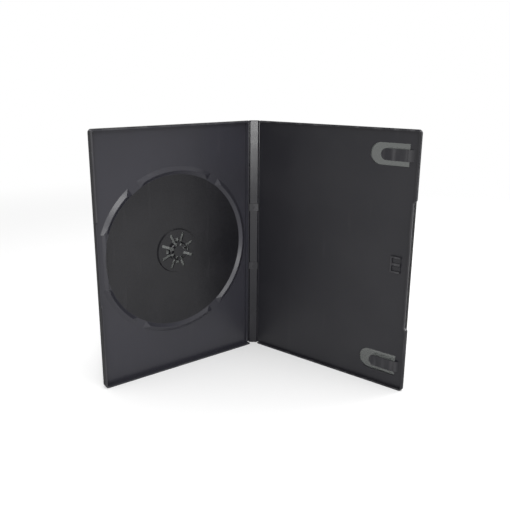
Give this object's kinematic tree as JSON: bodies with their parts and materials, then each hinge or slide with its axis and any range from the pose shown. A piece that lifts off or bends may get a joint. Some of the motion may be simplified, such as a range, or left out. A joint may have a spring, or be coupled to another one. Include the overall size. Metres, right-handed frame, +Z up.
{
  "type": "slim dvd case",
  "caption": "Slim black plastic disc case with hub tray, living-hinge spine, cover with booklet clips and clear outer film, standing open.",
  "frame": {"origin": "on the tray half's lower edge face, straight under the disc hub", "axes": "+Z up along the spine, +X along the tray from its opening edge to its hinge, -Y out of the tray's inner face"},
  "size_m": [0.1765, 0.1364, 0.19],
  "materials": {
    "black_plastic": "satin black polypropylene with a fine moulded grain",
    "clear_film": "glossy polypropylene film of a smoke grey, welded at its edges"
  },
  "bodies": {
    "tray": {"tray_panel": "black_plastic", "sleeve_tray_film": "clear_film"},
    "spine": {"spine_strip": "black_plastic", "sleeve_spine_film": "clear_film"},
    "cover": {"cover_panel": "black_plastic", "sleeve_cover_film": "clear_film"}
  },
  "joints": [
    {"name": "tray_hinge", "type": "hinge", "parent": "tray", "child": "spine", "pos_m": [0.06928, 0.00245, 0], "axis": [0, 0, -1], "range_deg": [-37.5, 52.5]},
    {"name": "cover_hinge", "type": "hinge", "parent": "spine", "child": "cover", "pos_m": [0.07602, -0.00272, 0], "axis": [0, 0, -1], "range_deg": [-37.5, 52.5]}
  ]
}
